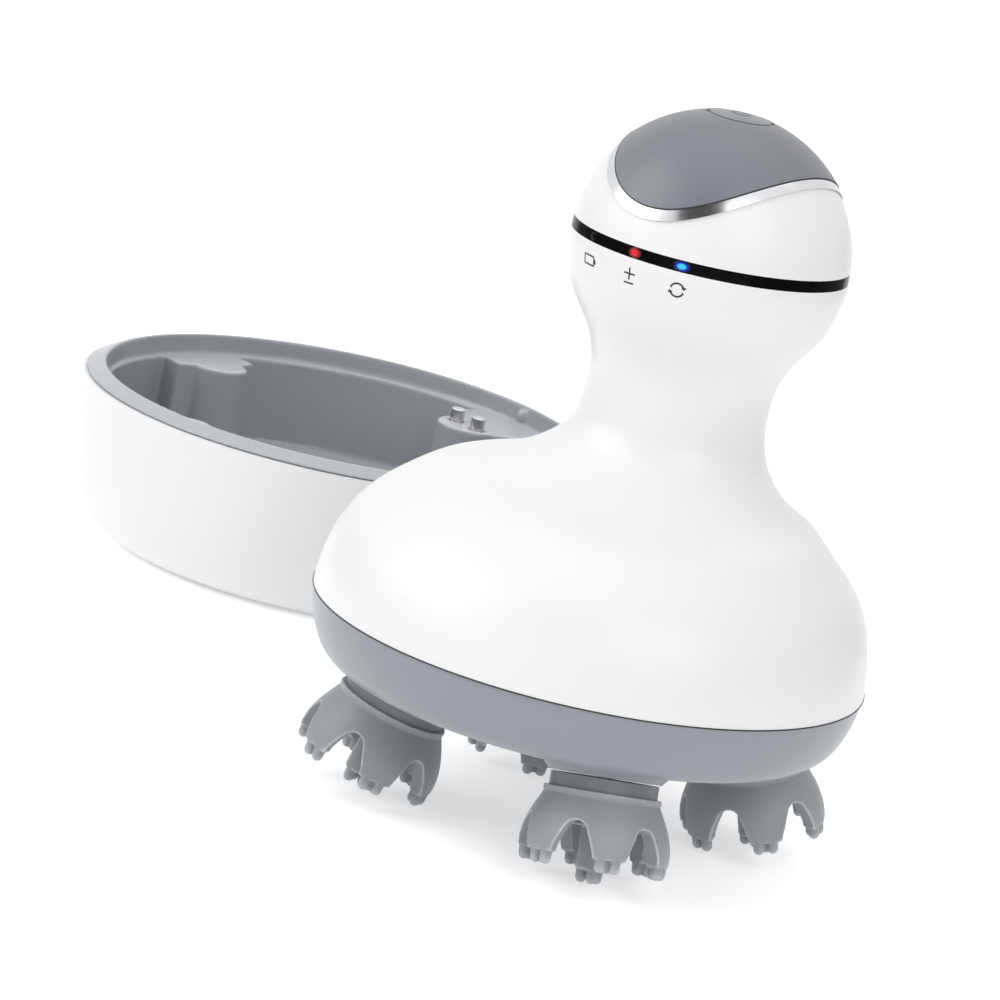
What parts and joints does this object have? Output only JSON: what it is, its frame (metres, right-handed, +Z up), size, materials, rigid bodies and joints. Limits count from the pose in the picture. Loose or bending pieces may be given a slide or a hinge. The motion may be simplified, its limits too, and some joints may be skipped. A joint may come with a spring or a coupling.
{
  "type": "electric scalp massager",
  "caption": "Hand-held scalp massager: a ball handle on a broad round base over turning silicone claw heads, with a round charging dock that it sits in.",
  "frame": {"origin": "on the floor under the middle of the massager's round base, with the massager standing on its head tips", "axes": "+Z up along the base's middle line, -Y to the front with the indicator lights, +Y to the side that the ball handle is set towards, +X to the user's right"},
  "size_m": [0.2685, 0.2265, 0.1518],
  "materials": {
    "white_abs": "satin",
    "grey_abs": "satin",
    "ring_grey": "satin",
    "liner_grey": "satin",
    "silicone_grey": "matte",
    "chrome": "polished",
    "black_gloss": "gloss",
    "black_abs": "matte",
    "board_green": "satin",
    "led_red": "lit",
    "led_blue": "lit",
    "led_clear": "clear",
    "cell_wrap": "gloss",
    "steel": "brushed",
    "gold_contact": "plated",
    "acetal": "satin",
    "carrier_grey": "satin",
    "foot_rubber": "matte"
  },
  "bodies": {
    "housing": {"main_body": "white_abs", "upper_shell": "white_abs", "indicator_band": "black_gloss", "top_cover": "grey_abs", "chrome_trim": "chrome", "button_board": "board_green", "tact_switch": "black_abs", "control_board": "board_green", "led_battery": "led_clear", "led_strength": "led_red", "led_direction": "led_blue", "battery_cell": "cell_wrap", "battery_holder": "white_abs", "motor": "steel", "reduction_pin": "steel", "sun_shaft": "steel", "gearbox_plate": "black_abs", "base_ring": "ring_grey", "head_bushes": "gold_contact", "charging_contacts": "gold_contact", "case_screws": "steel"},
    "power_button": {"power_button": "grey_abs"},
    "sun_gear": {"sun_gear": "acetal"},
    "reduction_gear": {"reduction_gear": "acetal"},
    "motor_rotor": {"motor_pinion": "steel"},
    "dock": {"dock_shell": "white_abs", "dock_liner": "liner_grey", "dock_base_plate": "black_abs", "dock_feet": "foot_rubber", "dock_board": "black_gloss", "pin_barrels": "gold_contact", "usb_socket": "steel", "dock_screws": "steel", "pin_spring_1": "steel", "pin_spring_2": "steel"},
    "charging_pin_1": {"charging_pin_1": "steel"},
    "charging_pin_2": {"charging_pin_2": "steel"},
    "head_1": {"massage_head_1": "silicone_grey", "head_carrier_1": "carrier_grey", "head_spindle_1": "steel", "head_gear_1": "acetal"},
    "head_2": {"massage_head_2": "silicone_grey", "head_carrier_2": "carrier_grey", "head_spindle_2": "steel", "head_gear_2": "acetal"},
    "head_3": {"massage_head_3": "silicone_grey", "head_carrier_3": "carrier_grey", "head_spindle_3": "steel", "head_gear_3": "acetal"},
    "head_4": {"massage_head_4": "silicone_grey", "head_carrier_4": "carrier_grey", "head_spindle_4": "steel", "head_gear_4": "acetal"}
  },
  "joints": [
    {"name": "head_1_spin", "type": "hinge", "parent": "housing", "child": "head_1", "pos_m": [0.02701, -0.02481, 0.01898], "axis": [-0.1949, 0.1949, 0.9613], "continuous": true},
    {"name": "head_2_spin", "type": "hinge", "parent": "housing", "child": "head_2", "pos_m": [0.02701, 0.02921, 0.01898], "axis": [-0.1949, -0.1949, 0.9613], "continuous": true},
    {"name": "head_3_spin", "type": "hinge", "parent": "housing", "child": "head_3", "pos_m": [-0.02701, 0.02921, 0.01898], "axis": [0.1949, -0.1949, 0.9613], "continuous": true},
    {"name": "head_4_spin", "type": "hinge", "parent": "housing", "child": "head_4", "pos_m": [-0.02701, -0.02481, 0.01898], "axis": [0.1949, 0.1949, 0.9613], "continuous": true},
    {"name": "sun_gear_spin", "type": "hinge", "parent": "housing", "child": "sun_gear", "pos_m": [0, 0.0022, 0.03396], "axis": [0, 0, 1], "continuous": true},
    {"name": "reduction_gear_spin", "type": "hinge", "parent": "housing", "child": "reduction_gear", "pos_m": [0.01957, 0.00926, 0.0442], "axis": [0, 0, 1], "continuous": true},
    {"name": "motor_spin", "type": "hinge", "parent": "housing", "child": "motor_rotor", "pos_m": [0, 0.0134, 0.0442], "axis": [0, 0, 1], "continuous": true},
    {"name": "power_button_press", "type": "slide", "parent": "housing", "child": "power_button", "axis": [0, 0, -1], "range_m": [0, 0.0008], "stiffness_N_per_m": 400},
    {"name": "dock_slide", "type": "slide", "parent": "housing", "child": "dock", "axis": [-0.8137, 0.5812, 0], "range_m": [0, 0.05]},
    {"name": "charging_pin_1_press", "type": "slide", "parent": "dock", "child": "charging_pin_1", "axis": [0, 0, -1], "range_m": [0, 0.001], "stiffness_N_per_m": 300, "deforming": ["pin_spring_1"]},
    {"name": "charging_pin_2_press", "type": "slide", "parent": "dock", "child": "charging_pin_2", "axis": [0, 0, -1], "range_m": [0, 0.001], "stiffness_N_per_m": 300, "deforming": ["pin_spring_2"]}
  ],
  "couplings": [
    {"joint": "head_2_spin", "follows": "head_1_spin", "ratio": 1},
    {"joint": "head_3_spin", "follows": "head_1_spin", "ratio": 1},
    {"joint": "head_4_spin", "follows": "head_1_spin", "ratio": 1},
    {"joint": "sun_gear_spin", "follows": "head_1_spin", "ratio": -0.78571},
    {"joint": "reduction_gear_spin", "follows": "head_1_spin", "ratio": 2.619},
    {"joint": "motor_spin", "follows": "head_1_spin", "ratio": -10.476}
  ]
}
